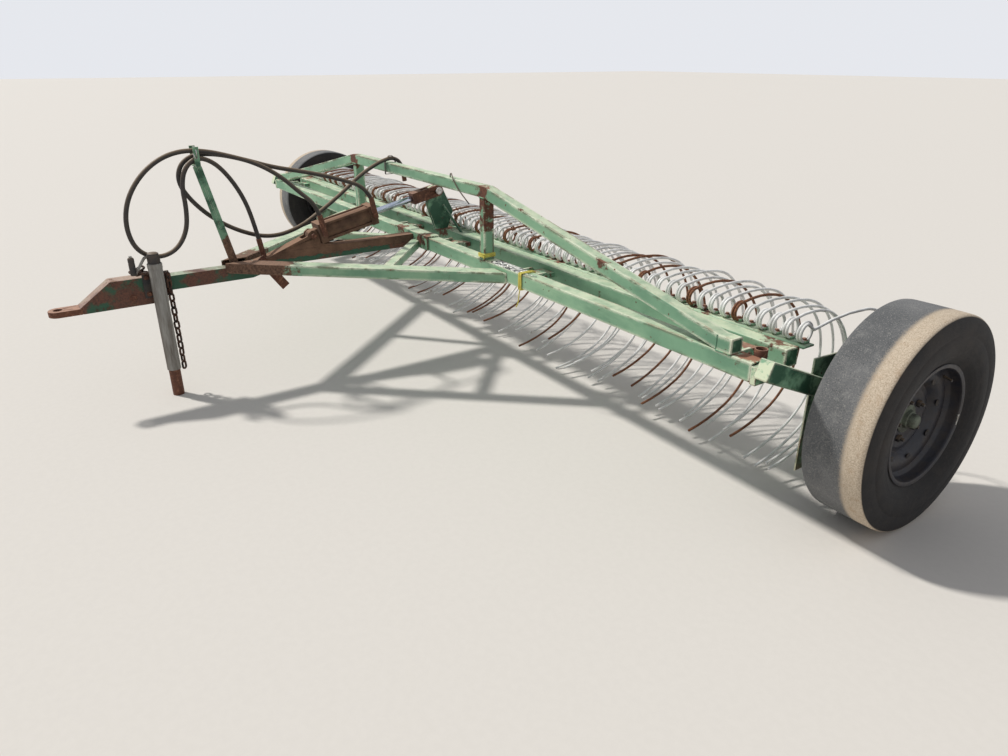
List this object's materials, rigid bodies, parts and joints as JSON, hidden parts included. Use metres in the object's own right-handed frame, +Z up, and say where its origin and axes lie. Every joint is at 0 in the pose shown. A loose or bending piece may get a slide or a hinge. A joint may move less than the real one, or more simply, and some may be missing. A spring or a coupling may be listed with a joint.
{
  "type": "trailed hydraulic dump rake",
  "caption": "Trailed hay rake on two road wheels, whose curved spring tines are tipped up by a hydraulic cylinder to drop the windrow.",
  "frame": {"origin": "on the floor, under the middle of the whole machine's box", "axes": "+X across the machine to its right as it is towed, +Y from the hitch to the tines (to the rear), +Z up"},
  "size_m": [5.094, 2.555, 1.074],
  "materials": {
    "green_paint": "weathered light green paint, chalky on top",
    "rusty_steel": "bare steel with brown rust",
    "dark_steel": "dull black",
    "grey_paint": "dusty grey paint",
    "dark_paint": "dark green paint under dried mud",
    "chrome": "polished",
    "tine_wire": "pale spring wire with patches of rust",
    "tyre": "worn smooth, dusty",
    "rim_paint": "dark, dirty",
    "hose_rubber": "dull black rubber, dusty",
    "hub_paint": "dusty grey green"
  },
  "bodies": {
    "root": {"front_beam": "green_paint", "truss_chord": "green_paint", "truss_posts": "green_paint", "saddle_plate": "green_paint", "tongue_tube": "green_paint", "tongue_head": "green_paint", "long_braces": "green_paint", "short_braces": "green_paint", "cylinder_bracket": "green_paint", "wheel_arms": "green_paint", "side_shields": "green_paint", "hinge_lugs": "green_paint", "jack_plate": "green_paint", "hose_holder": "green_paint", "hitch_plate": "rusty_steel", "cylinder_base_pin": "rusty_steel", "arm_mounts": "rusty_steel", "spindles": "rusty_steel", "end_sleeves": "rusty_steel", "lock_bar": "rusty_steel", "safety_chain": "rusty_steel", "jack_tube": "grey_paint", "jack_cap": "grey_paint", "jack_crank": "dark_steel", "base_hose": "hose_rubber", "rod_hose": "hose_rubber", "base_hose_coupler": "rusty_steel", "rod_hose_coupler": "rusty_steel"},
    "tine_bar": {"tine_tube": "green_paint", "lever_plate": "green_paint", "hinge_ears": "green_paint", "eye_pin_middle": "rusty_steel", "tine_gang_1": "tine_wire", "tine_gang_2": "tine_wire", "tine_gang_3": "tine_wire", "tine_gang_4": "tine_wire", "tine_gang_5": "tine_wire", "tine_gang_6": "tine_wire"},
    "cylinder": {"cylinder_barrel": "dark_paint", "cylinder_base_head": "dark_paint", "cylinder_rod_head": "dark_paint", "cylinder_ports": "rusty_steel", "cylinder_tie_rods": "rusty_steel"},
    "rod": {"piston_rod": "chrome", "rod_clevis": "rusty_steel", "eye_pin_ends": "rusty_steel"},
    "wheel_right": {"tyre_right": "tyre", "rim_right": "rim_paint", "hub_right": "hub_paint"},
    "wheel_left": {"tyre_left": "tyre", "rim_left": "rim_paint", "hub_left": "hub_paint"},
    "jack_leg": {"jack_leg": "rusty_steel"}
  },
  "joints": [
    {"name": "tine_lift", "type": "hinge", "parent": "root", "child": "tine_bar", "pos_m": [0, 0.5505, 0.548], "axis": [1, 0, 0], "range_deg": [0, 50]},
    {"name": "cylinder_swing", "type": "hinge", "parent": "root", "child": "cylinder", "pos_m": [0, -0.1185, 0.632], "axis": [1, 0, 0], "range_deg": [-1.97, 0]},
    {"name": "rod_stroke", "type": "slide", "parent": "cylinder", "child": "rod", "axis": [0, 0.9773, 0.2119], "range_m": [-0.2003, 0]},
    {"name": "wheel_right_spin", "type": "hinge", "parent": "root", "child": "wheel_right", "pos_m": [2.436, 0.9105, 0.367], "axis": [1, 0, 0], "continuous": true},
    {"name": "wheel_left_spin", "type": "hinge", "parent": "root", "child": "wheel_left", "pos_m": [-2.436, 0.9105, 0.367], "axis": [1, 0, 0], "continuous": true},
    {"name": "jack_leg_slide", "type": "slide", "parent": "root", "child": "jack_leg", "axis": [0, 0, 1], "range_m": [0, 0.11]}
  ],
  "couplings": [
    {"joint": "cylinder_swing", "follows": "tine_lift", "ratio": -0.03923},
    {"joint": "rod_stroke", "follows": "tine_lift", "m_per_rad": -0.22943}
  ]
}
